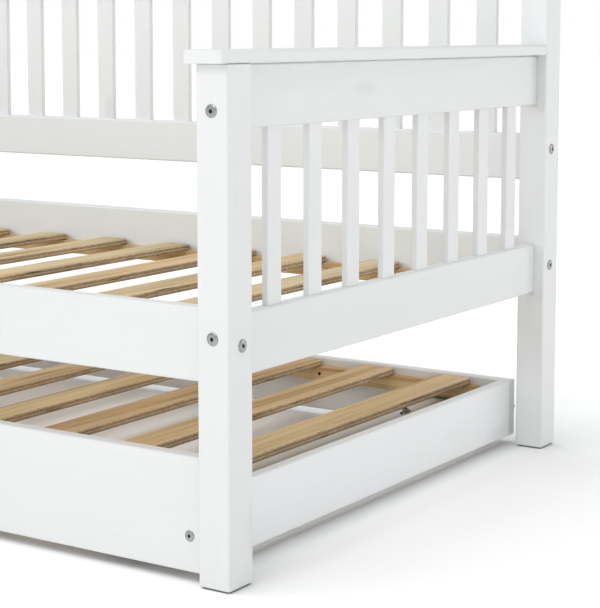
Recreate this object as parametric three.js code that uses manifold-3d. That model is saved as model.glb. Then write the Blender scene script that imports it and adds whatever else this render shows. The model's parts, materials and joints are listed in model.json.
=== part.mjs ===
// Day bed for a 2000 x 900 mm mattress with a pull-out trundle bed below it.
// Millimetres, +Z up. X runs along the bed, -Y is the front, and the origin is
// the centre of the footprint on the floor.
import * as THREE from "three";
import { mergeVertices } from "three/addons/utils/BufferGeometryUtils.js";
import Module from "manifold-3d";

// ---- driving dimensions ----
const LENGTH = 2082;          // over the outer faces of the end frames
const DEPTH = 990;            // front face of the legs to back face of the posts
const LEG_TOP = 688;
const POST_TOP = 882;
const GAP = 0.3;              // play left between pieces that touch

const POST = { x: 50, y: 55, round: 3 };
const CAP = { thick: 18, width: 60, front: 12, ends: 12, round: 4 };
const RAIL = { thick: 20, height: 85, inset: 18, round: 3 };
const SIDE = { thick: 22, bottom: 271, top: 371, inset: 20, round: 3 };
const END_LOW_BOTTOM = 277;
const BACK_LOW = { bottom: 472, top: 552 };
const GROOVE = { depth: 10, play: GAP };

const END_SLAT = { count: 8, width: 34, thick: 10, inset: 5, round: 2 };
const BACK_SLAT = { count: 20, width: 40, thick: 10, inset: 6, round: 2 };

const BED_SLAT = { count: 12, pitch: 160, width: 64, thick: 12, corner: 8, top: 310, end: 6 };
const CLEAT = { width: 20, height: 26, round: 1.5, end: 40 };

const TRUNDLE = {
  front: 12, back: 963, bottom: 14, top: 114, frontTop: 172,
  halfLength: 975, frontHalfLength: 986, board: 20, frontBoard: 22, round: 3,
};
const TRUNDLE_SLAT = { count: 12, pitch: 158, width: 64, thick: 12, corner: 8, top: 112, end: 4 };
const PLANK = { width: 96, bottom: 50, top: 68, round: 2, hole: 5.5 };

const CASTOR = {
  x: 846, fromEnd: 165, wheel: 20, tread: 7, bore: 3.4, axle: 3, trail: 14,
  head: 12, headBottom: 42.5, headTop: 49.5, plate: 3, cheek: 2, cheekGap: 2, stem: 4,
  nose: 6, noseTurn: 0.75 * Math.PI,
};
const WHEEL_FACE = { hub: 8, rim: 14, dish: 3, shoulder: 2 };
const ROUND_STEPS = 1;        // a rounded arris is drawn with twice this many facets
const STRIP_ROUND = 0.5;      // arris of the filler strips
const CIRCLE_STEPS = 24;
const HOLE_STEPS = 8;         // a bored hole is drawn with twice this many facets
const NOSE_STEPS = 4;
const WELD = 1e-4;            // points closer than this are one point

// ---- places that follow from them ----
const FRONT = -(DEPTH - CAP.front) / 2;      // front face of the front legs
const BACK = FRONT + DEPTH;                  // back face of the rear posts
const HALF = LENGTH / 2;
const INNER = HALF - POST.x;                 // inner faces of the legs
const RAIL_OUT = HALF - RAIL.inset;          // outer face of the end rails
const SIDE_FRONT = FRONT + SIDE.inset;       // outer face of the front side rail
const SIDE_BACK = BACK - SIDE.inset;
const BED_FRONT = SIDE_FRONT + SIDE.thick;   // clear width of the mattress base
const BED_BACK = SIDE_BACK - SIDE.thick;
const BOX_FRONT = FRONT + TRUNDLE.front + TRUNDLE.frontBoard;
const BOX_BACK = FRONT + TRUNDLE.back - TRUNDLE.board;
const UPPER_RAIL_BOTTOM = LEG_TOP - RAIL.height;
const END_LOW_TOP = END_LOW_BOTTOM + RAIL.height;
const TOP_RAIL_BOTTOM = POST_TOP - RAIL.height;

// ---- materials ----
const finish = (color, roughness, metalness = 0) =>
  new THREE.MeshStandardMaterial({ color, roughness, metalness });
const WHITE = finish("#eef0ef", 0.45);
const PINE = finish("#d9b27c", 0.6);
const VENEER = finish("#d3b98d", 0.6);
const ZINC = finish("#b9bcbd", 0.35, 1);
const RUBBER = finish("#4a4c4e", 0.6);

const bed = new THREE.Group();

function add(name, geometry, material, parent = bed) {
  const mesh = new THREE.Mesh(geometry, material);
  mesh.name = name;
  parent.add(mesh);
  return mesh;
}

// ---- shapes ----
// Turns a shape's own x, y and depth into two directions and an extrusion axis.
const TURN = {
  x: new THREE.Matrix4().set(0, 0, 1, 0, 1, 0, 0, 0, 0, 1, 0, 0, 0, 0, 0, 1),
  y: new THREE.Matrix4().set(1, 0, 0, 0, 0, 0, -1, 0, 0, 1, 0, 0, 0, 0, 0, 1),
};

function roundedRectangle(x0, y0, x1, y1, radius) {
  const shape = new THREE.Shape();
  shape.moveTo(x0 + radius, y0);
  shape.lineTo(x1 - radius, y0);
  shape.absarc(x1 - radius, y0 + radius, radius, -Math.PI / 2, 0);
  shape.lineTo(x1, y1 - radius);
  shape.absarc(x1 - radius, y1 - radius, radius, 0, Math.PI / 2);
  shape.lineTo(x0 + radius, y1);
  shape.absarc(x0 + radius, y1 - radius, radius, Math.PI / 2, Math.PI);
  shape.lineTo(x0, y0 + radius);
  shape.absarc(x0 + radius, y0 + radius, radius, Math.PI, Math.PI * 1.5);
  return shape;
}

function extrude(shape, depth, steps = ROUND_STEPS) {
  return new THREE.ExtrudeGeometry(shape, { depth, curveSegments: steps, bevelEnabled: false });
}

// A straight piece of timber between two corners, its long arrises rounded.
function timber(along, low, high, radius) {
  const [x0, y0, z0] = low;
  const [x1, y1, z1] = high;
  if (along === "x") {
    const section = roundedRectangle(y0, z0, y1, z1, radius);
    return extrude(section, x1 - x0).applyMatrix4(TURN.x).translate(x0, 0, 0);
  }
  if (along === "y") {
    const section = roundedRectangle(x0, z0, x1, z1, radius);
    return extrude(section, y1 - y0).applyMatrix4(TURN.y).translate(0, y1, 0);
  }
  return extrude(roundedRectangle(x0, y0, x1, y1, radius), z1 - z0).translate(0, 0, z0);
}

// A rail's section with a groove in its upper or lower edge for the slats.
function groovedSection(u0, v0, u1, v1, groove0, groove1, upper) {
  const r = RAIL.round;
  const shape = new THREE.Shape();
  const depth = GROOVE.depth;
  shape.moveTo(u0 + r, v0);
  if (!upper) {
    shape.lineTo(groove0, v0);
    shape.lineTo(groove0, v0 + depth);
    shape.lineTo(groove1, v0 + depth);
    shape.lineTo(groove1, v0);
  }
  shape.lineTo(u1 - r, v0);
  shape.absarc(u1 - r, v0 + r, r, -Math.PI / 2, 0);
  shape.lineTo(u1, v1 - r);
  shape.absarc(u1 - r, v1 - r, r, 0, Math.PI / 2);
  if (upper) {
    shape.lineTo(groove1, v1);
    shape.lineTo(groove1, v1 - depth);
    shape.lineTo(groove0, v1 - depth);
    shape.lineTo(groove0, v1);
  }
  shape.lineTo(u0 + r, v1);
  shape.absarc(u0 + r, v1 - r, r, Math.PI / 2, Math.PI);
  shape.lineTo(u0, v0 + r);
  shape.absarc(u0 + r, v0 + r, r, Math.PI, Math.PI * 1.5);
  return shape;
}

// ---- joining solids ----
const wasm = await Module();
wasm.setup();

function solid(geometry) {
  const bare = geometry.index ? geometry.toNonIndexed() : geometry;
  bare.deleteAttribute("normal");
  bare.deleteAttribute("uv");
  const merged = mergeVertices(bare, WELD);
  return new wasm.Manifold(new wasm.Mesh({
    numProp: 3,
    vertProperties: new Float32Array(merged.attributes.position.array),
    triVerts: new Uint32Array(merged.index.array),
  }));
}

function joined(geometries) {
  const whole = geometries.map(solid).reduce((a, b) => a.add(b));
  const mesh = whole.getMesh();
  const geometry = new THREE.BufferGeometry();
  geometry.setAttribute("position", new THREE.BufferAttribute(mesh.vertProperties, 3));
  geometry.setIndex(new THREE.BufferAttribute(mesh.triVerts, 1));
  geometry.computeVertexNormals();
  return geometry;
}

// Slats glued between two filler strips, which fill the rails' grooves. The
// panel stands in the XZ plane, its front face at y0, the rails' edges at low and high.
function slatPanel(start, end, low, high, slat, y0) {
  const strip = GROOVE.depth - GROOVE.play;
  const space = (end - start - slat.count * slat.width) / (slat.count + 1);
  const y1 = y0 + slat.thick;
  const pieces = [];
  for (const z of [low - strip, high]) {
    pieces.push(timber("x", [start, y0, z], [end, y1, z + strip], STRIP_ROUND));
  }
  for (let i = 0; i < slat.count; i += 1) {
    const x = start + space + i * (slat.width + space);
    const ends = [low - strip / 2, high + strip / 2];
    pieces.push(timber("z", [x, y0, ends[0]], [x + slat.width, y1, ends[1]], slat.round));
  }
  return joined(pieces);
}

// ---- end frames ----
function endFrame(side, sign) {
  const across = (a, b) => (sign > 0 ? [a, b] : [-b, -a]);
  const [legLow, legHigh] = across(INNER, HALF);
  const [railLow, railHigh] = across(RAIL_OUT - RAIL.thick, RAIL_OUT);
  const [capLow, capHigh] = across(HALF - CAP.width, HALF);
  const slatOut = RAIL_OUT - END_SLAT.inset;
  const [slatLow, slatHigh] = across(slatOut - END_SLAT.thick, slatOut);
  const legBack = FRONT + POST.y;
  const postFront = BACK - POST.y;
  const railEnds = [legBack + GAP, postFront - GAP];

  const leg = timber("z", [legLow, FRONT, 0], [legHigh, legBack, LEG_TOP], POST.round);
  add(`front_leg_${side}`, leg, WHITE);
  const post = timber("z", [legLow, postFront, 0], [legHigh, BACK, POST_TOP], POST.round);
  add(`rear_post_${side}`, post, WHITE);

  const rail = (name, bottom, upper) => {
    const section = groovedSection(railLow, bottom, railHigh, bottom + RAIL.height,
      slatLow - GAP, slatHigh + GAP, upper);
    const length = railEnds[1] - railEnds[0];
    const bar = extrude(section, length).applyMatrix4(TURN.y).translate(0, railEnds[1], 0);
    add(`${name}_${side}`, bar, WHITE);
  };
  rail("upper_end_rail", UPPER_RAIL_BOTTOM, false);
  rail("lower_end_rail", END_LOW_BOTTOM, true);

  const panel = slatPanel(railEnds[0], railEnds[1], END_LOW_TOP, UPPER_RAIL_BOTTOM,
    END_SLAT, -slatHigh);
  add(`end_slat_panel_${side}`, panel.rotateZ(Math.PI / 2), WHITE);

  const cap = timber("y", [capLow, FRONT - CAP.front, LEG_TOP + GAP],
    [capHigh, postFront - GAP, LEG_TOP + GAP + CAP.thick], CAP.round);
  add(`arm_cap_${side}`, cap, WHITE);
}

// ---- back and side rails ----
function backPanel() {
  const ends = [-INNER + GAP, INNER - GAP];
  const slatFront = BED_BACK + BACK_SLAT.inset;
  const slatBack = slatFront + BACK_SLAT.thick;
  const rail = (name, bottom, top, upper) => {
    const section = groovedSection(BED_BACK, bottom, SIDE_BACK, top,
      slatFront - GAP, slatBack + GAP, upper);
    const bar = extrude(section, ends[1] - ends[0]).applyMatrix4(TURN.x);
    add(name, bar.translate(ends[0], 0, 0), WHITE);
  };
  rail("back_lower_rail", BACK_LOW.bottom, BACK_LOW.top, true);
  rail("back_top_rail", TOP_RAIL_BOTTOM, POST_TOP, false);
  const panel = slatPanel(ends[0], ends[1], BACK_LOW.top, TOP_RAIL_BOTTOM,
    BACK_SLAT, slatFront);
  add("back_slat_panel", panel, WHITE);
  const capEnd = HALF + CAP.ends;
  const capFront = BACK - POST.y - (CAP.width - POST.x);
  const cap = timber("x", [-capEnd, capFront, POST_TOP + GAP],
    [capEnd, BACK, POST_TOP + GAP + CAP.thick], CAP.round);
  add("back_cap", cap, WHITE);
}

function sideRails() {
  const low = -INNER + GAP;
  const high = INNER - GAP;
  add("front_side_rail", timber("x", [low, SIDE_FRONT, SIDE.bottom],
    [high, BED_FRONT, SIDE.top], SIDE.round), WHITE);
  add("back_side_rail", timber("x", [low, BED_BACK, SIDE.bottom],
    [high, SIDE_BACK, SIDE.top], SIDE.round), WHITE);
}

// ---- mattress bases ----
// Two cleats under a row of slats, between a front and a back face.
function slatBase(prefix, base, halfLength, front, back, parent) {
  const under = base.top - base.thick - GAP;
  const cleat = (name, y0, y1) => add(`${prefix}_${name}`, timber("x",
    [-halfLength, y0, under - CLEAT.height], [halfLength, y1, under], CLEAT.round), PINE, parent);
  cleat("cleat_front", front + GAP, front + GAP + CLEAT.width);
  cleat("cleat_back", back - GAP - CLEAT.width, back - GAP);
  for (let i = 0; i < base.count; i += 1) {
    const x = (i - (base.count - 1) / 2) * base.pitch;
    const slat = timber("z", [x - base.width / 2, front + base.end, base.top - base.thick],
      [x + base.width / 2, back - base.end, base.top], base.corner);
    add(`${prefix}_slat_${i + 1}`, slat, VENEER, parent);
  }
}

// ---- trundle box ----
const trundle = new THREE.Group();
bed.add(trundle);

function trundleBox() {
  const t = TRUNDLE;
  const front = FRONT + t.front;
  const back = FRONT + t.back;
  add("trundle_front_board", timber("x", [-t.frontHalfLength, front, t.bottom],
    [t.frontHalfLength, BOX_FRONT, t.frontTop], t.round), WHITE, trundle);
  add("trundle_back_board", timber("x", [-t.halfLength, BOX_BACK, t.bottom],
    [t.halfLength, back, t.top], t.round), WHITE, trundle);
  for (const [side, sign] of [["left", -1], ["right", 1]]) {
    const outer = sign * t.halfLength;
    const inner = sign * (t.halfLength - t.board);
    add(`trundle_end_board_${side}`, timber("y",
      [Math.min(outer, inner), BOX_FRONT + GAP, t.bottom],
      [Math.max(outer, inner), BOX_BACK - GAP, t.top], t.round), WHITE, trundle);
  }
}

// ---- castors ----
const castorPlaces = [
  ["front_left", -CASTOR.x, BOX_FRONT - TRUNDLE.frontBoard + CASTOR.fromEnd],
  ["front_right", CASTOR.x, BOX_FRONT - TRUNDLE.frontBoard + CASTOR.fromEnd],
  ["back_left", -CASTOR.x, BOX_BACK + TRUNDLE.board - CASTOR.fromEnd],
  ["back_right", CASTOR.x, BOX_BACK + TRUNDLE.board - CASTOR.fromEnd],
];

// A board across the box over each pair of castors, bored for their stems.
function castorPlank(side, x) {
  const half = PLANK.width / 2;
  const shape = roundedRectangle(x - half, BOX_FRONT + GAP, x + half, BOX_BACK - GAP, PLANK.round);
  for (const [, holeX, holeY] of castorPlaces) {
    if (holeX !== x) continue;
    const hole = new THREE.Path();
    hole.absarc(holeX, holeY, PLANK.hole, 0, Math.PI * 2);
    shape.holes.push(hole);
  }
  const plank = extrude(shape, PLANK.top - PLANK.bottom, HOLE_STEPS);
  add(`castor_plank_${side}`, plank.translate(0, 0, PLANK.bottom), WHITE, trundle);
}

// One cheek of the fork, from the head plate down round the axle.
function cheek(x) {
  const c = CASTOR;
  const shape = new THREE.Shape();
  shape.moveTo(c.head, c.headBottom + c.plate);
  shape.lineTo(-c.trail - c.nose, c.headBottom + c.plate);
  shape.lineTo(-c.trail - c.nose, c.wheel);
  shape.absarc(-c.trail, c.wheel, c.nose, Math.PI, Math.PI + c.noseTurn);
  shape.lineTo(c.head, c.headBottom - c.plate);
  return extrude(shape, c.cheek, NOSE_STEPS).applyMatrix4(TURN.x).translate(x, 0, 0);
}

// Stem, swivel head, two cheeks and the axle between them, as one pressing.
function castorFork() {
  const c = CASTOR;
  const inner = c.tread + c.cheekGap;
  const width = 2 * (inner + c.cheek);
  const plate = new THREE.BoxGeometry(width, c.head + c.trail + c.nose, c.plate);
  plate.translate(0, (c.head - c.trail - c.nose) / 2, c.headBottom + c.plate / 2);
  const head = new THREE.CylinderGeometry(c.head, c.head, c.headTop - c.headBottom, CIRCLE_STEPS);
  head.rotateX(Math.PI / 2).translate(0, 0, (c.headTop + c.headBottom) / 2);
  const stemLength = PLANK.top - c.headBottom - c.plate;
  const stem = new THREE.CylinderGeometry(c.stem, c.stem, stemLength, CIRCLE_STEPS);
  stem.rotateX(Math.PI / 2).translate(0, 0, PLANK.top - stemLength / 2);
  const axle = new THREE.CylinderGeometry(c.axle, c.axle, width - c.cheek, CIRCLE_STEPS);
  axle.rotateZ(Math.PI / 2).translate(0, -c.trail, c.wheel);
  return joined([plate, head, stem, axle, cheek(inner), cheek(-inner - c.cheek)]);
}

// A plastic wheel with a dished face each side, turned about the axle.
function castorWheel() {
  const c = CASTOR;
  const { hub, rim, dish, shoulder } = WHEEL_FACE;
  const half = [
    [c.bore, -c.tread], [hub, -c.tread], [hub, dish - c.tread], [rim, dish - c.tread],
    [rim, -c.tread], [c.wheel - shoulder, -c.tread], [c.wheel, shoulder - c.tread],
  ];
  const other = half.map(([r, h]) => [r, -h]).reverse();
  const profile = [...half, ...other, half[0]].map(([r, h]) => new THREE.Vector2(r, h));
  return new THREE.LatheGeometry(profile, CIRCLE_STEPS).rotateZ(-Math.PI / 2);
}

function castors() {
  for (const [place, x, y] of castorPlaces) {
    const castor = new THREE.Group();
    castor.position.set(x, y, 0);
    trundle.add(castor);
    add(`castor_fork_${place}`, castorFork(), ZINC, castor);
    const wheel = add(`castor_wheel_${place}`, castorWheel(), RUBBER, castor);
    wheel.position.set(0, -CASTOR.trail, CASTOR.wheel);
  }
}

// ---- assembly ----
endFrame("left", -1);
endFrame("right", 1);
backPanel();
sideRails();
slatBase("bed", BED_SLAT, INNER - CLEAT.end, BED_FRONT, BED_BACK, bed);
trundleBox();
slatBase("trundle", TRUNDLE_SLAT, TRUNDLE.halfLength - TRUNDLE.board - CLEAT.end,
  BOX_FRONT, BOX_BACK, trundle);
castorPlank("left", -CASTOR.x);
castorPlank("right", CASTOR.x);
castors();

export default bed;
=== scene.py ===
"""Looks of the trundle bed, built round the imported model. Metres, +Z up, front is -Y."""
import json
import math
import random

import bmesh
import bpy
from mathutils import Matrix, Vector

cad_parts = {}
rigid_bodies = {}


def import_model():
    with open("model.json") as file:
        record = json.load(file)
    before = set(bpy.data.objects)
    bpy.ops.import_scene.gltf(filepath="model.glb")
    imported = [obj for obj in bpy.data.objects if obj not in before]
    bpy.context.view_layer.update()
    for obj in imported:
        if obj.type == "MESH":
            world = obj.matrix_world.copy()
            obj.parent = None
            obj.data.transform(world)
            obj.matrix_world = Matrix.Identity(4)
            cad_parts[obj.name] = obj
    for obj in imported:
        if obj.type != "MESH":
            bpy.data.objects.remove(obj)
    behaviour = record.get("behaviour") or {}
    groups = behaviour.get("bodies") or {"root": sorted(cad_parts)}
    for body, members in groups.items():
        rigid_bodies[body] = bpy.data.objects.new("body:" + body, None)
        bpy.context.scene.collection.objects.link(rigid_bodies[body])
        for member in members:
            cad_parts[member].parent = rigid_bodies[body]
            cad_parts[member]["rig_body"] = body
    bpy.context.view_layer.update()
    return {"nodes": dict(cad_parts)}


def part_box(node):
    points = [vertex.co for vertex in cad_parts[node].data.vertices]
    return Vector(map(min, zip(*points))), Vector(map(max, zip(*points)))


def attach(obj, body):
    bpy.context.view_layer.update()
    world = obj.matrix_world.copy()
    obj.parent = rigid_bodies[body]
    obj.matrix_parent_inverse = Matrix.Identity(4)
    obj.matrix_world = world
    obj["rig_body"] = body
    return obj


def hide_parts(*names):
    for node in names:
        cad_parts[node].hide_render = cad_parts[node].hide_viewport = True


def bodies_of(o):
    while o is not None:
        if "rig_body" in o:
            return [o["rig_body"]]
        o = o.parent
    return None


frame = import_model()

MM = 0.001
TINY = 1e-6
X, Y, Z = 0, 1, 2
SIDES = {"left": -1, "right": 1}
RANDOM = random.Random(7)

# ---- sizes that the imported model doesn't carry ----
ARRIS = 3.4 * MM              # rounding of the painted timber's long arrises
ARRIS_STEPS = 4
END_ARRIS = 0.7 * MM          # the sawn ends are only eased
END_STEPS = 2
CAP_ARRIS = 4.0 * MM
CAP_END_ARRIS = 1.5 * MM
FOOT_ARRIS = 1.6 * MM
BOX_ARRIS = 1.5 * MM          # where the trundle's boards meet
PLANK_ARRIS = 1.5 * MM
SQUARE = 0.9999               # a face this near an axis is flat
GLIDE = {"height": 2.6 * MM, "inset": 3.0 * MM, "corner": 3.0 * MM, "edge": 0.3 * MM}

END_SLAT = {"count": 8, "width": 34 * MM, "arris": 1.8 * MM}
BACK_SLAT = {"count": 20, "width": 40 * MM, "arris": 1.8 * MM}
TENON = 7.0 * MM              # how far a slat runs on into its rail's groove
STRIP = {"proud": 0.25 * MM, "play": 0.4 * MM, "arris": 0.2 * MM, "steps": 2}

MATTRESS_SLAT = {"corner": 8 * MM, "corner_steps": 6, "arris": 2.4 * MM, "arris_steps": 4}
FACE_VENEER = 0.9             # faces that point up or down at least this much are veneer
CLEAT_ARRIS = 1.2 * MM
BED_SCREWS = (-600, -200, 200, 600)       # mm along each cleat
TRUNDLE_SCREWS = (-587, -196, 196, 587)

BOLT = {"radius": 8.75 * MM, "height": 2.0 * MM, "socket": 2.6 * MM}
TRUNDLE_BOLT = {"radius": 7.5 * MM, "height": 1.8 * MM, "socket": 2.2 * MM}
TRUNDLE_BOLT_OUT = 3.0 * MM   # from the middle of the end board
BOLT_FROM_EDGE = 31 * MM      # from a leg's front or a post's back to the bolts into the long rails
BOLT_SHARE = {"upper_end": 0.30, "lower": 0.68, "side": 0.53, "back_top": 0.45}   # see rail_height
DOWEL = {"radius": 5.0 * MM, "height": 0.45 * MM, "straight": 0.25 * MM, "slot": 1.5 * MM,
         "slot_floor": 0.05 * MM, "back": 34 * MM}
SCREW = {"radius": 3.3 * MM, "height": 0.5 * MM, "cross": 0.5 * MM}
NUT = {"washer": 6.2 * MM, "washer_height": 1.2 * MM, "half_width": 5.5 * MM, "top": 7.0 * MM,
       "chamfer": 0.8 * MM, "recess": 0.3 * MM, "stem": 3.4 * MM, "stem_end": 9.0 * MM,
       "stem_chamfer": 0.7 * MM, "screw_offset": 14.0 * MM}
# (name, which way from the nut, radius, height)
PLANK_SCREWS = (("front", -1, 2.5 * MM, 2.8 * MM), ("back", 1, 2.1 * MM, 1.6 * MM))
TURN_STEPS = 36
WHEEL_STEPS = 48
SHARP = math.radians(35)      # faces that meet at a greater angle don't shade into each other
WHEEL_SHARP = math.radians(50)

# The fork of a castor; plate_under is its height above the floor.
FORK = {
    "head": 12 * MM, "head_gap": 0.8 * MM, "stem": 3.8 * MM, "stem_tip": 3.0 * MM, "stem_chamfer": 1 * MM,
    "plate_under": 42.5 * MM, "plate": 3 * MM, "plate_corner": 2.5 * MM, "plate_arris": 0.5 * MM,
    "sheet": 2 * MM, "sheet_arris": 0.35 * MM, "overlap": 0.4 * MM,
    "shoulder": 11 * MM, "shoulder_drop": 6 * MM,
    "nose": 6 * MM, "nose_steps": 12, "nose_turn": 0.75 * math.pi,
}

FLOOR_HALF = 40.0
FRONT_LIGHT = (-0.30, -0.85, 0.43)        # where the brighter half of the surroundings lies
CAMERA = {"place": (2.3074, -2.2458, 0.7297), "yaw": 56.643, "pitch": 6.257, "lens": 101.49,
          "shift": -0.14, "near": 0.05, "far": 60.0}


# ---- shader helpers ----
def add_node(tree, kind, settings=None, inputs=None):
    """A new shader node. An input is either a plain value or the output it is linked to."""
    made = tree.nodes.new(kind)
    for name, value in (settings or {}).items():
        setattr(made, name, value)
    for socket, value in (inputs or {}).items():
        if isinstance(value, bpy.types.NodeSocket):
            tree.links.new(value, made.inputs[socket])
        else:
            made.inputs[socket].default_value = value
    return made


def new_material(name, **constants):
    """(material, its node tree, its Principled shader), the named constants set on the shader's sockets."""
    material = bpy.data.materials.new(name)
    material.use_nodes = True
    tree = material.node_tree
    shader = tree.nodes["Principled BSDF"]
    for socket, value in constants.items():
        shader.inputs[socket.replace("_", " ")].default_value = value
    return material, tree, shader


def grain_point(tree, stretch):
    """The point on the piece as (along, across, through) its grain, scaled by stretch per metre."""
    point = add_node(tree, "ShaderNodeAttribute", {"attribute_name": "grain"}).outputs["Vector"]
    scaled = add_node(tree, "ShaderNodeVectorMath", {"operation": "MULTIPLY"}, {0: point, 1: stretch})
    return scaled.outputs[0]


def noise(tree, stretch, detail=3.0, roughness=0.5, distortion=0.0):
    inputs = {"Vector": grain_point(tree, stretch), "Scale": 1.0, "Detail": detail,
              "Roughness": roughness, "Distortion": distortion}
    return add_node(tree, "ShaderNodeTexNoise", inputs=inputs).outputs[0]


def knots(tree, stretch):
    """Distance to the nearest knot, 0 at its heart."""
    inputs = {"Vector": grain_point(tree, stretch), "Scale": 1.0}
    return add_node(tree, "ShaderNodeTexVoronoi", inputs=inputs).outputs["Distance"]


def ramp(tree, value, stops, interpolation="LINEAR"):
    """A colour or grey for each value. stops are (position, colour) with a grey as one number."""
    made = add_node(tree, "ShaderNodeValToRGB", inputs={0: value})
    made.color_ramp.interpolation = interpolation
    points = made.color_ramp.elements
    while len(points) < len(stops):
        points.new(0.5)
    for point, (position, colour) in zip(points, stops):
        point.position = position
        grey = isinstance(colour, (int, float))
        point.color = (colour, colour, colour, 1) if grey else (*colour, 1)
    return made.outputs[0]


def mix(tree, factor, first, second, blend="MIX"):
    inputs = {"Fac": factor, "Color1": first, "Color2": second}
    return add_node(tree, "ShaderNodeMixRGB", {"blend_type": blend}, inputs).outputs[0]


def maths(tree, operation, first, second=0.0):
    return add_node(tree, "ShaderNodeMath", {"operation": operation}, {0: first, 1: second}).outputs[0]


def bump(tree, height, distance, strength=1.0, under=None):
    inputs = {"Height": height, "Distance": distance, "Strength": strength}
    if under is not None:
        inputs["Normal"] = under
    return add_node(tree, "ShaderNodeBump", inputs=inputs).outputs[0]


def connect(tree, shader, **outputs):
    for socket, output in outputs.items():
        tree.links.new(output, shader.inputs[socket.replace("_", " ")])


# ---- materials ----
def white_paint():
    """Satin white lacquer over pine: the grain shows as faint ridges and a slight drift of tone."""
    material, tree, shader = new_material("white_paint", Coat_Weight=0.30, Coat_Roughness=0.40)
    drift = noise(tree, (0.9, 6, 6))
    tone = ramp(tree, drift, [(0.3, (0.742, 0.750, 0.746)), (0.7, (0.764, 0.772, 0.768))])
    fibres = noise(tree, (7, 170, 170), detail=4, roughness=0.6)
    shade = ramp(tree, fibres, [(0.30, 0.985), (0.55, 1.0)])
    tone = mix(tree, 1.0, tone, shade, "MULTIPLY")
    ghost = ramp(tree, knots(tree, (2.6, 8, 8)), [(0.05, 0.93), (0.13, 1.0)])
    tone = mix(tree, 1.0, tone, ghost, "MULTIPLY")
    gloss = ramp(tree, noise(tree, (14, 60, 60)), [(0.3, 0.34), (0.7, 0.46)])
    brushed = bump(tree, fibres, 0.25 * MM, 0.35)
    skin = bump(tree, noise(tree, (420, 420, 420), detail=2), 0.05 * MM, 0.5, brushed)
    connect(tree, shader, Base_Color=tone, Roughness=gloss, Normal=skin)
    return material


def veneer():
    """The bare softwood face of the laminated slats, with long darker figure and fine pores."""
    material, tree, shader = new_material("veneer")
    figure = noise(tree, (1.5, 24, 24), detail=4, roughness=0.55, distortion=0.8)
    tone = ramp(tree, figure, [
        (0.28, (0.430, 0.275, 0.120)), (0.40, (0.600, 0.440, 0.235)),
        (0.52, (0.730, 0.590, 0.360)), (0.75, (0.790, 0.670, 0.440))])
    patches = noise(tree, (0.6, 3, 3), detail=1)
    warmth = ramp(tree, patches, [(0.4, (1.0, 0.88, 0.74)), (0.6, (0.97, 1.0, 0.98))])
    tone = mix(tree, 1.0, tone, warmth, "MULTIPLY")
    rings = noise(tree, (3.2, 130, 90), detail=5, roughness=0.65, distortion=0.4)
    tone = mix(tree, 1.0, tone, ramp(tree, rings, [(0.32, 0.78), (0.52, 1.0)]), "MULTIPLY")
    pores = noise(tree, (45, 1100, 500), detail=2)
    tone = mix(tree, 1.0, tone, ramp(tree, pores, [(0.28, 0.80), (0.42, 1.0)]), "MULTIPLY")
    eyes = ramp(tree, knots(tree, (2.0, 9, 14)), [(0.03, (0.36, 0.22, 0.12)), (0.12, (1, 1, 1))])
    tone = mix(tree, 1.0, tone, eyes, "MULTIPLY")
    gloss = ramp(tree, rings, [(0.3, 0.72), (0.7, 0.54)])
    relief = bump(tree, rings, 0.3 * MM, 0.5)
    relief = bump(tree, pores, 0.12 * MM, 0.6, relief)
    connect(tree, shader, Base_Color=tone, Roughness=gloss, Normal=relief)
    return material


def ply_edge():
    """The cut edge of the laminated slats: pale and dark plies, glue lines and a few voids, darkened as
    painted shade inside them.
    """
    material, tree, shader = new_material("ply_edge")
    two_plies = 1 / (5.8 * MM)
    point = grain_point(tree, (1, 1, two_plies))
    through = add_node(tree, "ShaderNodeSeparateXYZ", inputs={0: point}).outputs[2]
    waver = maths(tree, "MULTIPLY", noise(tree, (5, 5, 60)), 0.30)
    layer = maths(tree, "FRACT", maths(tree, "ADD", maths(tree, "ADD", through, waver), 10.3))
    tone = ramp(tree, layer, [
        (0.00, (0.150, 0.098, 0.055)), (0.09, (0.560, 0.420, 0.250)), (0.48, (0.650, 0.500, 0.315)),
        (0.54, (0.110, 0.072, 0.042)), (0.64, (0.360, 0.252, 0.148)), (0.94, (0.450, 0.325, 0.195))])
    ends = noise(tree, (160, 160, 240), detail=3, roughness=0.7)
    tone = mix(tree, 1.0, tone, ramp(tree, ends, [(0.3, 0.68), (0.6, 1.06)]), "MULTIPLY")
    drift = noise(tree, (5, 5, 5), detail=2)
    warmth = ramp(tree, drift, [(0.35, (0.80, 0.76, 0.72)), (0.65, (1.16, 1.12, 1.06))])
    tone = mix(tree, 1.0, tone, warmth, "MULTIPLY")
    # painted shade: the voids are darkened towards black for the shade inside a gap, and dented by the bump
    # below
    voids = ramp(tree, noise(tree, (13, 13, 420), detail=2), [(0.655, 1.0), (0.70, 0.13)])
    tone = mix(tree, 1.0, tone, voids, "MULTIPLY")
    relief = bump(tree, layer, 0.15 * MM, 0.35)
    relief = bump(tree, ends, 0.25 * MM, 0.6, relief)
    relief = bump(tree, voids, 0.6 * MM, 0.8, relief)
    gloss = ramp(tree, ends, [(0.3, 0.85), (0.7, 0.70)])
    connect(tree, shader, Base_Color=tone, Roughness=gloss, Normal=relief)
    return material


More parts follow.
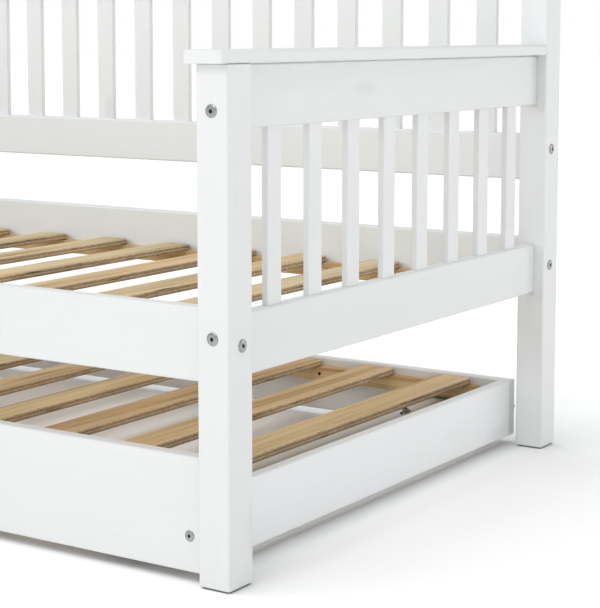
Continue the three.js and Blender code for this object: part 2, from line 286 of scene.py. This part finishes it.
def pine():
    """Planed bare pine for the cleats, its grain along the bed."""
    material, tree, shader = new_material("pine")
    bands = noise(tree, (1.1, 42, 42), detail=3, roughness=0.5, distortion=0.9)
    tone = ramp(tree, bands, [
        (0.30, (0.470, 0.270, 0.105)), (0.45, (0.640, 0.425, 0.195)), (0.70, (0.740, 0.545, 0.290))])
    rings = noise(tree, (2.4, 300, 300), detail=4, roughness=0.6)
    tone = mix(tree, 1.0, tone, ramp(tree, rings, [(0.34, 0.74), (0.52, 1.0)]), "MULTIPLY")
    eyes = ramp(tree, knots(tree, (3.0, 20, 20)), [(0.06, (0.30, 0.17, 0.09)), (0.17, (1, 1, 1))])
    tone = mix(tree, 1.0, tone, eyes, "MULTIPLY")
    gloss = ramp(tree, rings, [(0.3, 0.66), (0.7, 0.48)])
    connect(tree, shader, Base_Color=tone, Roughness=gloss, Normal=bump(tree, rings, 0.2 * MM, 0.5))
    return material


def zinc(name, light):
    """Bright zinc plating with a fine crystalline mottle."""
    material, tree, shader = new_material(name, Metallic=1.0)
    mottle = noise(tree, (700, 700, 700), detail=3, roughness=0.6)
    low, high = 0.82 * light, light
    tone = ramp(tree, mottle, [(0.35, (low, low, 1.02 * low)), (0.65, (high, high, 0.98 * high))])
    gloss = ramp(tree, noise(tree, (260, 260, 260)), [(0.3, 0.20), (0.7, 0.38)])
    connect(tree, shader, Base_Color=tone, Roughness=gloss, Normal=bump(tree, mottle, 0.03 * MM, 0.6))
    return material


def dark_steel():
    """Black screws, and painted shade: near-black for the unlit inside of a socket, a slot or a ball race.
    """
    material, tree, shader = new_material("dark_steel", Metallic=0.6)
    grit = noise(tree, (900, 900, 900), detail=3)
    tone = ramp(tree, grit, [(0.3, (0.012, 0.012, 0.013)), (0.7, (0.050, 0.050, 0.052))])
    gloss = ramp(tree, grit, [(0.3, 0.42), (0.7, 0.62)])
    connect(tree, shader, Base_Color=tone, Roughness=gloss)
    return material


def dark_hole():
    """Matt black painted shade: the shadow between a nut and the stem in it."""
    material, tree, shader = new_material("dark_hole", Specular_IOR_Level=0.05, Roughness=1.0)
    grit = noise(tree, (600, 600, 600), detail=3)
    tone = ramp(tree, grit, [(0.3, (0.006, 0.005, 0.004)), (0.7, (0.020, 0.016, 0.013))])
    connect(tree, shader, Base_Color=tone)
    return material


def moulded_plastic(name, dark, pale, rough):
    """Spark-textured plastic between two close tones."""
    material, tree, shader = new_material(name)
    sparks = noise(tree, (1500, 1500, 1500), detail=2)
    cloud = noise(tree, (90, 90, 90))
    tone = ramp(tree, cloud, [(0.3, dark), (0.7, pale)])
    gloss = ramp(tree, sparks, [(0.3, rough - 0.08), (0.7, rough + 0.08)])
    connect(tree, shader, Base_Color=tone, Roughness=gloss, Normal=bump(tree, sparks, 0.05 * MM, 0.5))
    return material


def studio_floor():
    """Matt white sweep with hardly any texture."""
    material, tree, shader = new_material("studio_floor", Specular_IOR_Level=0.2)
    point = add_node(tree, "ShaderNodeTexCoord").outputs["Object"]
    cloud = add_node(tree, "ShaderNodeTexNoise", inputs={"Vector": point, "Scale": 1.7}).outputs[0]
    tone = ramp(tree, cloud, [(0.3, (0.765, 0.765, 0.765)), (0.7, (0.785, 0.785, 0.785))])
    gloss = ramp(tree, cloud, [(0.3, 0.62), (0.7, 0.72)])
    connect(tree, shader, Base_Color=tone, Roughness=gloss)
    return material


PAINT = white_paint()
VENEER = veneer()
PLY_EDGE = ply_edge()
PINE = pine()
ZINC = zinc("zinc", 0.40)
DULL_ZINC = zinc("dull_zinc", 0.36)
PAINTED_SHADE = dark_hole()
BLACK_STEEL_AND_SHADE = dark_steel()
TYRE = moulded_plastic("tyre_plastic", (0.050, 0.052, 0.056), (0.066, 0.068, 0.072), 0.46)
HUB = moulded_plastic("hub_plastic", (0.200, 0.204, 0.210), (0.235, 0.240, 0.246), 0.40)
GLIDE_PLASTIC = moulded_plastic("glide_plastic", (0.150, 0.152, 0.154), (0.190, 0.192, 0.194), 0.60)


# ---- pieces ----
def new_piece(name, mesh_data, materials, body):
    """An object from a bmesh, shaded smooth between its sharp edges, riding on a CAD body."""
    mesh = bpy.data.meshes.new(name)
    mesh_data.to_mesh(mesh)
    mesh_data.free()
    for material in materials:
        mesh.materials.append(material)
    mesh.shade_smooth()
    lay_grain(mesh)
    piece = bpy.data.objects.new(name, mesh)
    bpy.context.scene.collection.objects.link(piece)
    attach(piece, body)
    return piece


def timber_piece(name, mesh_data, materials, body):
    piece = new_piece(name, mesh_data, materials, body)
    shade_flats(piece.data)
    return piece


def shade_flats(mesh):
    """Square faces shade flat right up to their rounded edges, which shade smoothly between them."""
    normals = [vertex.normal.copy() for vertex in mesh.vertices]
    flats = [face for face in mesh.polygons if max(abs(part) for part in face.normal) > SQUARE]
    for face in flats:
        for vertex in face.vertices:
            normals[vertex] = face.normal.copy()
    corners = [normals[loop.vertex_index] for loop in mesh.loops]
    for face in flats:
        for corner in face.loop_indices:
            corners[corner] = face.normal.copy()
    mesh.normals_split_custom_set(corners)


def lay_grain(mesh):
    """Writes each point's place along, across and through the grain, from a random place in the log."""
    points = [vertex.co for vertex in mesh.vertices]
    low = Vector(min(point[k] for point in points) for k in range(3))
    high = Vector(max(point[k] for point in points) for k in range(3))
    size = high - low
    middle = (low + high) / 2
    along, across, through = sorted(range(3), key=lambda k: -size[k])
    shift = Vector((RANDOM.uniform(0, 60), RANDOM.uniform(0, 60), 0))
    grain = mesh.attributes.new("grain", "FLOAT_VECTOR", "POINT")
    for entry, point in zip(grain.data, points):
        from_middle = point - middle
        entry.vector = Vector((from_middle[along], from_middle[across], from_middle[through])) + shift


def round_edges(work, edges, radius, steps):
    bmesh.ops.bevel(work, geom=edges, offset=radius, offset_type="OFFSET", segments=steps,
                    profile=0.5, affect="EDGES", clamp_overlap=True)


def edges_along(work, axis, length):
    """The edges that run the whole length of a box along an axis."""
    return [edge for edge in work.edges
            if abs(edge.verts[0].co[axis] - edge.verts[1].co[axis]) > 0.9 * length]


def rim_edges(work, axis, places):
    """The edges of the two flat faces across an axis, at those places."""
    flat = [face for face in work.faces
            if all(abs(vertex.co[axis] - places[0]) < TINY for vertex in face.verts)
            or all(abs(vertex.co[axis] - places[1]) < TINY for vertex in face.verts)]
    return list({edge for face in flat for edge in face.edges})


def rounded_box(low, high, axis, radius, steps, end_radius, end_steps):
    """A box with its four edges along axis rounded by radius, and both ends by end_radius."""
    work = bmesh.new()
    bmesh.ops.create_cube(work, size=1.0)
    size = high - low
    bmesh.ops.scale(work, vec=size, verts=work.verts)
    bmesh.ops.translate(work, vec=(low + high) / 2, verts=work.verts)
    round_edges(work, edges_along(work, axis, size[axis]), radius, steps)
    round_edges(work, rim_edges(work, axis, (low[axis], high[axis])), end_radius, end_steps)
    return work


def longest_axis(low, high):
    size = high - low
    return max(range(3), key=lambda k: size[k])


def body_of(node):
    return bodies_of(frame["nodes"][node])[0]


def painted_board(node, arris=ARRIS, end_arris=END_ARRIS, lift=0.0):
    """Stands for a CAD node: the same board with fine arrises, raised at its foot by lift."""
    low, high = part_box(node)
    low.z += lift
    axis = longest_axis(low, high)
    work = rounded_box(low, high, axis, arris, ARRIS_STEPS, end_arris, END_STEPS)
    piece = timber_piece(f"{node}_painted", work, [PAINT], body_of(node))
    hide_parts(node)


def foot_glide(leg):
    """A grey glide under a leg, standing a little inside its edges."""
    low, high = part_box(leg)
    inset = Vector((GLIDE["inset"], GLIDE["inset"], 0))
    low = low + inset
    high = Vector((high.x, high.y, low.z + GLIDE["height"])) - inset
    work = rounded_box(low, high, Z, GLIDE["corner"], ARRIS_STEPS, GLIDE["edge"], 1)
    timber_piece(f"{leg}_glide", work, [GLIDE_PLASTIC], body_of(leg))


def upright_slats(panel, slat, axis, first_rail, second_rail):
    """The slats of an arm or the back, spread evenly between the posts, and the strips between them."""
    low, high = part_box(panel)
    body = body_of(panel)
    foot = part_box(first_rail)[1].z
    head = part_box(second_rail)[0].z
    space = (high[axis] - low[axis] - slat["count"] * slat["width"]) / (slat["count"] + 1)
    start = low[axis]
    for number in range(slat["count"] + 1):
        fill_groove(panel, number, axis, (start, start + space), (low, high), (foot, head), body)
        start += space
        if number == slat["count"]:
            break
        slat_low, slat_high = low.copy(), high.copy()
        slat_low[axis], slat_high[axis] = start, start + slat["width"]
        slat_low.z, slat_high.z = foot - TENON, head + TENON
        work = rounded_box(slat_low, slat_high, Z, slat["arris"], ARRIS_STEPS, END_ARRIS, END_STEPS)
        name = panel.replace("_panel", "") + f"_{number + 1}"
        piece = timber_piece(name, work, [PAINT], body)
        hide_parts(panel)
        start += slat["width"]


def fill_groove(panel, number, axis, span, box, levels, body):
    """The strips that close a pair of grooves between two slats, almost flush with the rails."""
    for level, proud, end in ((levels[0], STRIP["proud"], "lower"), (levels[1], -STRIP["proud"], "upper")):
        low, high = box[0].copy(), box[1].copy()
        low[axis], high[axis] = span[0] + STRIP["play"], span[1] - STRIP["play"]
        depth = math.copysign(TENON, -proud)
        low.z, high.z = min(level + proud, level + depth), max(level + proud, level + depth)
        work = rounded_box(low, high, axis, STRIP["arris"], STRIP["steps"], STRIP["arris"] / 2, 1)
        name = panel.replace("slat_panel", "strip") + f"_{end}_{number + 1}"
        timber_piece(name, work, [PAINT], body)


def mattress_slat(node):
    """A laminated slat with round corners; its edges show the plies."""
    low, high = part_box(node)
    work = rounded_box(low, high, Z, MATTRESS_SLAT["corner"], MATTRESS_SLAT["corner_steps"],
                       MATTRESS_SLAT["arris"], MATTRESS_SLAT["arris_steps"])
    for face in work.faces:
        face.material_index = 0 if abs(face.normal.z) > FACE_VENEER else 1
    piece = timber_piece(f"{node}_laminated", work, [VENEER, PLY_EDGE], body_of(node))
    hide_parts(node)


def cleat(node, screws, face_y):
    """A pine cleat and the screws that hold it, their heads in the face at -Y or +Y."""
    low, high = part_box(node)
    body = body_of(node)
    work = rounded_box(low, high, X, CLEAT_ARRIS, ARRIS_STEPS, END_ARRIS, END_STEPS)
    piece = timber_piece(f"{node}_pine", work, [PINE], body)
    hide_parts(node)
    face = low.y if face_y < 0 else high.y
    for number, along in enumerate(screws, 1):
        place = Vector((along * MM, face, (low.z + high.z) / 2))
        screw(f"{node}_screw_{number}", place, (0, face_y, 0), body)


# ---- hardware ----
def ring_radius(shape, size, angle):
    """Radius of a ring at an angle: size is the round's radius, half a hexagon's width across flats,
    or (half length, half width) of a slot or a cross."""
    if shape == "hexagon":
        sixth = math.pi / 3
        return size / math.cos((angle % sixth) - sixth / 2)
    if shape == "slot":
        return min(size[0], size[1] / max(abs(math.sin(angle)), TINY))
    if shape == "cross":
        arm = min(abs(math.sin(angle)), abs(math.cos(angle)))
        return min(size[0], size[1] / max(arm, TINY))
    return size


def turned(rings, steps=TURN_STEPS):
    """A solid about +Z from rings of (shape, size, height, material number), closed at both ends."""
    work = bmesh.new()
    loops = []
    for shape, size, height, _ in rings:
        loop = []
        for step in range(steps):
            angle = 2 * math.pi * step / steps
            radius = ring_radius(shape, size, angle)
            loop.append(work.verts.new((radius * math.cos(angle), radius * math.sin(angle), height)))
        loops.append(loop)
    for below, above, ring in zip(loops, loops[1:], rings[1:]):
        for step in range(steps):
            after = (step + 1) % steps
            face = work.faces.new((below[step], below[after], above[after], above[step]))
            face.material_index = ring[3]
    work.faces.new(list(reversed(loops[0]))).material_index = rings[0][3]
    work.faces.new(loops[-1]).material_index = rings[-1][3]
    return work


def place_turned(work, place, direction):
    """Moves a turned solid to a place, its +Z along direction."""
    turn = Vector(direction).to_track_quat("Z", "Y").to_matrix().to_4x4()
    bmesh.ops.transform(work, matrix=Matrix.Translation(place) @ turn, verts=work.verts)


def mark_sharp(work, angle=SHARP):
    """Keeps the edges crisp where faces meet at angle or more."""
    for edge in work.edges:
        edge.smooth = len(edge.link_faces) == 2 and edge.calc_face_angle(0) < angle


def fastener(name, rings, place, direction, body, materials=(ZINC, BLACK_STEEL_AND_SHADE)):
    """A small turned metal part that stands on a face at place."""
    work = turned(rings)
    mark_sharp(work)
    place_turned(work, place, direction)
    new_piece(name, work, materials, body)


def bolt(name, place, direction, body, size=BOLT):
    """A flat round-headed bolt with a hexagon socket."""
    r, h, s = size["radius"], size["height"], size["socket"]
    rings = [
        ("round", r, 0, 0), ("round", r, 0.35 * h, 0), ("round", 0.97 * r, 0.55 * h, 0),
        ("round", 0.86 * r, 0.78 * h, 0), ("round", 0.62 * r, 0.95 * h, 0), ("round", 0.46 * r, h, 0),
        # the socket's walls and floor take material 1, near-black painted shade
        ("hexagon", 1.08 * s, h, 0), ("hexagon", s, 0.93 * h, 0), ("hexagon", s, 0.12 * h, 1),
        ("hexagon", 0.3 * s, 0.06 * h, 1),
    ]
    fastener(name, rings, place, direction, body)


def cross_dowel(name, place, direction, body):
    """The slotted end of a barrel nut, almost flush in the timber."""
    r, w, h = DOWEL["radius"], DOWEL["slot"] / 2, DOWEL["height"]
    rings = [
        ("round", r, 0, 0), ("round", r, DOWEL["straight"], 0), ("round", 0.93 * r, h, 0),
        # the slot's walls and floor take material 1, near-black painted shade
        ("slot", (0.8 * r, w), h, 0), ("slot", (0.78 * r, 0.9 * w), DOWEL["slot_floor"], 1),
    ]
    fastener(name, rings, place, direction, body)


def screw(name, place, direction, body):
    """A dark countersunk screw with a cross recess."""
    r, h, c = SCREW["radius"], SCREW["height"], SCREW["cross"]
    rings = [
        ("round", r, 0, 1), ("round", 0.94 * r, 0.6 * h, 1), ("round", 0.8 * r, h, 1),
        ("cross", (0.62 * r, c), h, 1), ("cross", (0.5 * r, 0.7 * c), 0.1 * h, 1),
    ]
    fastener(name, rings, place, direction, body)


def castor_nut(name, place, body):
    """A washer and a hexagon nut on a plank's top, with the end of the castor's threaded stem."""
    w, n, t = NUT["washer"], NUT["half_width"], NUT["stem"]
    foot, top, end, edge = NUT["washer_height"], NUT["top"], NUT["stem_end"], NUT["chamfer"]
    rings = [
        ("round", w, 0, 0), ("round", w, 0.8 * foot, 0), ("round", 0.95 * w, foot, 0),
        ("round", 0.98 * n, foot, 0), ("hexagon", n, foot + edge, 0), ("hexagon", n, top - edge, 0),
        # material 1 on the ring between the nut and the stem is matt black painted shade
        ("round", 0.98 * n, top, 0), ("round", 1.25 * t, top, 0), ("round", t, top - NUT["recess"], 1),
        ("round", t, end - NUT["stem_chamfer"], 0), ("round", 0.75 * t, end, 0),
    ]
    fastener(name, rings, place, (0, 0, 1), body, (DULL_ZINC, PAINTED_SHADE))


def pan_screw(name, place, radius, height, body):
    """A black pan-head screw standing on a plank's top."""
    rings = [
        ("round", radius, 0, 1), ("round", radius, 0.35 * height, 1),
        ("round", 0.88 * radius, 0.75 * height, 1), ("round", 0.6 * radius, height, 1),
        ("cross", (0.5 * radius, 0.15 * radius), height, 1),
        ("cross", (0.4 * radius, 0.1 * radius), 0.6 * height, 1),
    ]
    fastener(name, rings, place, (0, 0, 1), body)


def rail_height(node, share):
    """The height of a bolt in a rail: its named share of the rail's depth above the underside."""
    low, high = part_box(node)
    return low.z + BOLT_SHARE[share] * (high.z - low.z)


def bolt_pair(name, head, direction, nut, nut_direction, body):
    """A bolt's head, and the end of the barrel nut that it screws into."""
    bolt(f"{name}_bolt", Vector(head), direction, body)
    cross_dowel(f"{name}_barrel_nut", Vector(nut), nut_direction, body)


def end_frame_bolts(side, sign):
    """The bolts that hold an arm's two rails to its leg and post, with barrel nuts inside."""
    leg_low, leg_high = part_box(f"front_leg_{side}")
    post_low, post_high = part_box(f"rear_post_{side}")
    middle = (leg_low.x + leg_high.x) / 2
    for level, share in (("upper", "upper_end"), ("lower", "lower")):
        rail = f"{level}_end_rail_{side}"
        rail_low, rail_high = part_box(rail)
        z = rail_height(rail, share)
        inside = rail_low.x if sign > 0 else rail_high.x
        ends = (("front", leg_low.y, -1, leg_high.y), ("rear", post_high.y, 1, post_low.y))
        for end, face, way, joint in ends:
            nut = (inside, joint - way * DOWEL["back"], z)
            bolt_pair(f"{rail}_{end}", (middle, face, z), (0, way, 0), nut, (-sign, 0, 0), body_of(rail))


def long_rail_bolts(side, sign):
    """The bolts through a leg's or post's outer face into the rails that run along the bed."""
    leg_low, leg_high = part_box(f"front_leg_{side}")
    post_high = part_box(f"rear_post_{side}")[1]
    outer = leg_high.x if sign > 0 else leg_low.x
    inner = leg_low.x if sign > 0 else leg_high.x
    front_y = leg_low.y + BOLT_FROM_EDGE
    back_y = post_high.y - BOLT_FROM_EDGE
    rows = (("front_side_rail", front_y, "side"), ("back_side_rail", back_y, "side"),
            ("back_lower_rail", back_y, "lower"), ("back_top_rail", back_y, "back_top"))
    for rail, y, share in rows:
        rail_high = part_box(rail)[1]
        z = rail_height(rail, share)
        nut = (inner - sign * DOWEL["back"], rail_high.y, z)
        bolt_pair(f"{rail}_{side}", (outer, y, z), (sign, 0, 0), nut, (0, 1, 0), body_of(rail))


def trundle_bolts(side, sign):
    """Bolts through the trundle's front and back boards into its end boards."""
    end_low, end_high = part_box(f"trundle_end_board_{side}")
    middle = (end_low.x + end_high.x) / 2 + sign * TRUNDLE_BOLT_OUT
    inside = end_low.x if sign > 0 else end_high.x
    z = (end_low.z + end_high.z) / 2
    rows = (("trundle_front_board", -1, end_low.y), ("trundle_back_board", 1, end_high.y))
    for board, way, joint in rows:
        low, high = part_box(board)
        face = low.y if way < 0 else high.y
        bolt(f"{board}_{side}_bolt", Vector((middle, face, z)), (0, way, 0), "trundle", TRUNDLE_BOLT)
        nut = Vector((inside, joint - way * DOWEL["back"], z))
        cross_dowel(f"{board}_{side}_barrel_nut", nut, (-sign, 0, 0), "trundle")


# ---- castors ----
def cheek_plate(x0, x1, stem, axle, head):
    """One side of a castor's fork: broad under the swivel head, narrowing to a round end at the axle."""
    work = bmesh.new()
    nose, steps = FORK["nose"], FORK["nose_steps"]
    shoulder = stem.y + FORK["shoulder"]
    outline = [(shoulder, head), (axle.y - nose, head)]
    for step in range(steps + 1):
        angle = math.pi + step * FORK["nose_turn"] / steps
        outline.append((axle.y + nose * math.cos(angle), axle.z + nose * math.sin(angle)))
    outline.append((shoulder, head - FORK["shoulder_drop"]))
    loop = [work.verts.new((x0, y, z)) for y, z in outline]
    face = work.faces.new(loop)
    raised = bmesh.ops.extrude_face_region(work, geom=[face])["geom"]
    moved = [part for part in raised if isinstance(part, bmesh.types.BMVert)]
    bmesh.ops.translate(work, vec=(x1 - x0, 0, 0), verts=moved)
    bmesh.ops.recalc_face_normals(work, faces=work.faces)
    rims = [edge for edge in work.edges if abs(edge.verts[0].co.x - edge.verts[1].co.x) < TINY]
    round_edges(work, rims, FORK["sheet_arris"], END_STEPS)
    return work


def merge(target, *others):
    """Adds other bmeshes to the first."""
    for other in others:
        spare = bpy.data.meshes.new("spare")
        other.to_mesh(spare)
        other.free()
        target.from_mesh(spare)
        bpy.data.meshes.remove(spare)
    return target


def swivel_head(height):
    """The two pressed cups of the swivel, with the ball race between them painted near-black as shade."""
    # (mm inside the rim, share of the height, material)
    profile = ((3.0, 0, 0), (0.4, 0.12, 0), (0, 0.30, 0), (0, 0.42, 0), (1.0, 0.50, 1), (1.0, 0.58, 1),
               (0, 0.66, 0), (0, 0.88, 0), (1.4, 1, 0))
    return turned([("round", FORK["head"] - inside * MM, level * height, number)
                   for inside, level, number in profile])


def riveted_pin(left, right):
    """The axle between two cheeks, with a domed rivet head outside each."""
    # (radius, how far out from the cheek) in mm
    profile = ((1.6, 0.9), (3.0, 0.5), (3.3, 0), (2.6, -0.1))
    near = [("round", radius * MM, left - out * MM, 0) for radius, out in profile]
    far = [("round", radius * MM, right + out * MM, 0) for radius, out in reversed(profile)]
    return turned(near + far)


def castor_fork(place):
    """A pressed zinc fork: swivel head with its ball race, top plate, two cheeks and a riveted axle."""
    node = f"castor_fork_{place}"
    low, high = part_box(node)
    wheel_low, wheel_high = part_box(f"castor_wheel_{place}")
    axle = (wheel_low + wheel_high) / 2
    stem = Vector((axle.x, high.y - FORK["head"], high.z))
    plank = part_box(f"castor_plank_{place.split('_')[1]}")[0].z
    head = FORK["plate_under"] + FORK["plate"]
    swivel = swivel_head(plank - head - FORK["head_gap"])
    plate_low = Vector((low.x, low.y, FORK["plate_under"]))
    plate_high = Vector((high.x, high.y, head))
    plate = rounded_box(plate_low, plate_high, Z, FORK["plate_corner"], ARRIS_STEPS,
                        FORK["plate_arris"], END_STEPS)
    sheet = FORK["sheet"]
    cheeks = [cheek_plate(x, x + sheet, stem, axle, head - FORK["overlap"])
              for x in (low.x, high.x - sheet)]
    pin = riveted_pin(low.x - axle.x, high.x - axle.x)
    reach = high.z - head
    stem_pin = turned([("round", FORK["stem"], 0, 0),
                       ("round", FORK["stem"], reach - FORK["stem_chamfer"], 0),
                       ("round", FORK["stem_tip"], reach, 0)])
    for part in (swivel, pin, stem_pin):
        mark_sharp(part)
    place_turned(swivel, Vector((stem.x, stem.y, head)), (0, 0, 1))
    place_turned(pin, axle, (1, 0, 0))
    place_turned(stem_pin, Vector((stem.x, stem.y, head)), (0, 0, 1))
    work = merge(swivel, plate, *cheeks, pin, stem_pin)
    piece = new_piece(f"{node}_zinc", work, [ZINC, BLACK_STEEL_AND_SHADE], body_of(node))
    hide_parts(node)
    return stem


def castor_wheel(place):
    """A dished plastic wheel: dark tyre, paler hub with its boss."""
    node = f"castor_wheel_{place}"
    low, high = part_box(node)
    axle = (low + high) / 2
    radius = (high.z - low.z) / 2
    half = (high.x - low.x) / 2
    # (radius in mm, mm inside the wheel's side face, material) from the bore out towards the tread
    profile = ((3.2, 0.2, 1), (5.2, 0, 1), (6.0, 0.6, 1), (6.6, 2.6, 1), (13.2, 3.0, 1), (13.8, 2.4, 0),
               (14.4, 0.5, 0), (15.0, 0, 0))
    side = [("round", out * MM, -half + inside * MM, number) for out, inside, number in profile]
    for short, inside in ((2.6, 0), (1.1, 0.5), (0.25, 1.7), (0, 3.4)):
        side.append(("round", radius - short * MM, -half + inside * MM, 0))
    other = [(shape, size, -height, number) for shape, size, height, number in reversed(side)]
    # The faces between two rings take the later ring's material, so the far side's numbers move on by one.
    numbers = [0] + [ring[3] for ring in other[:-1]]
    far_side = [(*ring[:3], number) for ring, number in zip(other, numbers)]
    work = turned(side + far_side, WHEEL_STEPS)
    mark_sharp(work, WHEEL_SHARP)
    place_turned(work, axle, (1, 0, 0))
    piece = new_piece(f"{node}_moulded", work, [TYRE, HUB], body_of(node))
    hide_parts(node)


def castor_fixing(place, stem):
    """The nut on a castor's stem, and a screw on either side of it."""
    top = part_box(f"castor_plank_{place.split('_')[1]}")[1].z
    castor_nut(f"castor_nut_{place}", Vector((stem.x, stem.y, top)), "trundle")
    for end, way, radius, height in PLANK_SCREWS:
        spot = Vector((stem.x, stem.y + way * NUT["screw_offset"], top))
        pan_screw(f"castor_screw_{place}_{end}", spot, radius, height, "trundle")


# ---- assembly ----
for side, sign in SIDES.items():
    for leg in (f"front_leg_{side}", f"rear_post_{side}"):
        painted_board(leg, end_arris=FOOT_ARRIS, lift=GLIDE["height"])
        foot_glide(leg)
    painted_board(f"upper_end_rail_{side}")
    painted_board(f"lower_end_rail_{side}")
    painted_board(f"arm_cap_{side}", CAP_ARRIS, CAP_END_ARRIS)
    upright_slats(f"end_slat_panel_{side}", END_SLAT, Y, f"lower_end_rail_{side}", f"upper_end_rail_{side}")
    end_frame_bolts(side, sign)
    long_rail_bolts(side, sign)
    painted_board(f"trundle_end_board_{side}", end_arris=BOX_ARRIS)
    painted_board(f"castor_plank_{side}", PLANK_ARRIS)
    trundle_bolts(side, sign)
for rail in ("front_side_rail", "back_side_rail", "back_lower_rail", "back_top_rail"):
    painted_board(rail)
painted_board("back_cap", CAP_ARRIS, CAP_END_ARRIS)
upright_slats("back_slat_panel", BACK_SLAT, X, "back_lower_rail", "back_top_rail")
painted_board("trundle_front_board")
painted_board("trundle_back_board", end_arris=BOX_ARRIS)
cleat("bed_cleat_front", BED_SCREWS, 1)
cleat("bed_cleat_back", BED_SCREWS, -1)
cleat("trundle_cleat_front", TRUNDLE_SCREWS, 1)
cleat("trundle_cleat_back", TRUNDLE_SCREWS, -1)
for node in frame["nodes"]:
    if node.startswith(("bed_slat_", "trundle_slat_")):
        mattress_slat(node)
for place in ("front_left", "front_right", "back_left", "back_right"):
    castor_fixing(place, castor_fork(place))
    castor_wheel(place)


# ---- floor, lights and camera ----
def floor():
    """The white sweep under the bed, which isn't a part of it."""
    half = FLOOR_HALF
    corners = [(-half, -half, 0), (half, -half, 0), (half, half, 0), (-half, half, 0)]
    mesh = bpy.data.meshes.new("studio_floor")
    mesh.from_pydata(corners, [], [(0, 1, 2, 3)])
    mesh.materials.append(studio_floor())
    piece = bpy.data.objects.new("studio_floor", mesh)
    bpy.context.scene.collection.objects.link(piece)
    return piece


def world():
    """White to the camera. As light, brighter from the front than from behind."""
    made = bpy.data.worlds.new("studio")
    bpy.context.scene.world = made
    made.use_nodes = True
    tree = made.node_tree
    direction = add_node(tree, "ShaderNodeTexCoord").outputs["Generated"]
    toward = add_node(tree, "ShaderNodeVectorMath", {"operation": "DOT_PRODUCT"},
                      {0: direction, 1: FRONT_LIGHT}).outputs["Value"]
    share = maths(tree, "ADD", maths(tree, "MULTIPLY", toward, 0.5), 0.5)
    light = ramp(tree, share, [
        (0.0, (0.690, 0.702, 0.710)), (0.4, (0.700, 0.712, 0.719)), (1.0, (0.800, 0.812, 0.819))])
    seen = add_node(tree, "ShaderNodeLightPath").outputs["Is Camera Ray"]
    colour = mix(tree, seen, light, (1.0, 1.0, 1.0, 1.0))
    background = tree.nodes["Background"]
    tree.links.new(colour, background.inputs["Color"])
    background.inputs["Strength"].default_value = 1.0


def light_only(lamp, pieces):
    """Light linking: the lamp lights only these pieces, though everything still shades them."""
    lit = bpy.data.collections.new(f"{lamp.name}_lit")
    for piece in pieces:
        lit.objects.link(piece)
    lamp.light_linking.receiver_collection = lit


def pieces_named(*starts):
    return [piece for piece in bpy.data.objects if piece.name.startswith(starts)]


def softbox(name, place, aim, size, power):
    """A square lamp that the camera doesn't see."""
    light = bpy.data.lights.new(name, "AREA")
    light.shape = "SQUARE"
    light.size = size
    light.energy = power
    lamp = bpy.data.objects.new(name, light)
    lamp.location = place
    lamp.rotation_mode = "QUATERNION"
    lamp.rotation_quaternion = (Vector(aim) - Vector(place)).to_track_quat("-Z", "Y")
    lamp.visible_camera = False
    bpy.context.scene.collection.objects.link(lamp)
    return lamp


def even_light(name, place, width, strength):
    """Light from above that is as strong everywhere, its source width degrees across."""
    light = bpy.data.lights.new(name, "SUN")
    light.energy = strength
    light.angle = math.radians(width)
    lamp = bpy.data.objects.new(name, light)
    lamp.rotation_mode = "QUATERNION"
    lamp.rotation_quaternion = (-Vector(place)).to_track_quat("-Z", "Y")
    bpy.context.scene.collection.objects.link(lamp)
    return lamp


def camera():
    """Stands off the front right corner, about where the photograph was taken, looking slightly down."""
    data = bpy.data.cameras.new("camera")
    data.sensor_width = 36.0
    data.lens = CAMERA["lens"]
    data.shift_y = CAMERA["shift"]
    data.clip_start = CAMERA["near"]
    data.clip_end = CAMERA["far"]
    made = bpy.data.objects.new("camera", data)
    made.location = CAMERA["place"]
    yaw, pitch = math.radians(CAMERA["yaw"]), math.radians(CAMERA["pitch"])
    forward = (-math.cos(yaw) * math.cos(pitch), math.sin(yaw) * math.cos(pitch), -math.sin(pitch))
    made.rotation_mode = "QUATERNION"
    made.rotation_quaternion = Vector(forward).to_track_quat("-Z", "Y")
    bpy.context.scene.collection.objects.link(made)
    bpy.context.scene.camera = made


sweep = floor()
world()
softbox("key", place=(0.9, -1.9, 1.9), aim=(0.9, -0.45, 0.6), size=0.8, power=10.5)
softbox("right", place=(3.0, 2.4, 0.9), aim=(1.0, 0.5, 0.2), size=1.2, power=7.0)
even_light("overhead", place=(0.0, -0.4, 4.5), width=90.0, strength=0.45)
# Two cool fills lighten only the inside of the bed and of the trundle.
inner_fill = softbox("inner_fill", place=(-2.6, -3.6, 2.2), aim=(0.0, 0.3, 0.4), size=1.8, power=62.0)
inner_fill.data.color = (0.86, 0.95, 1.0)
low_fill = softbox("low_fill", place=(3.4, -0.4, 0.9), aim=(0.3, 0.1, 0.05), size=0.9, power=9.0)
low_fill.data.color = (0.90, 0.97, 1.0)
light_only(low_fill, pieces_named("castor_plank", "trundle_"))
light_only(inner_fill, pieces_named("back_", "rear_post"))
# The sweep's own light whitens the floor and leaves the bed's soft shadow on it.
sweep_light = even_light("sweep_light", place=(-1.7, -0.9, 4.5), width=54.0, strength=1.75)
light_only(sweep_light, [sweep])
camera()
bpy.context.scene.view_settings.view_transform = "Standard"
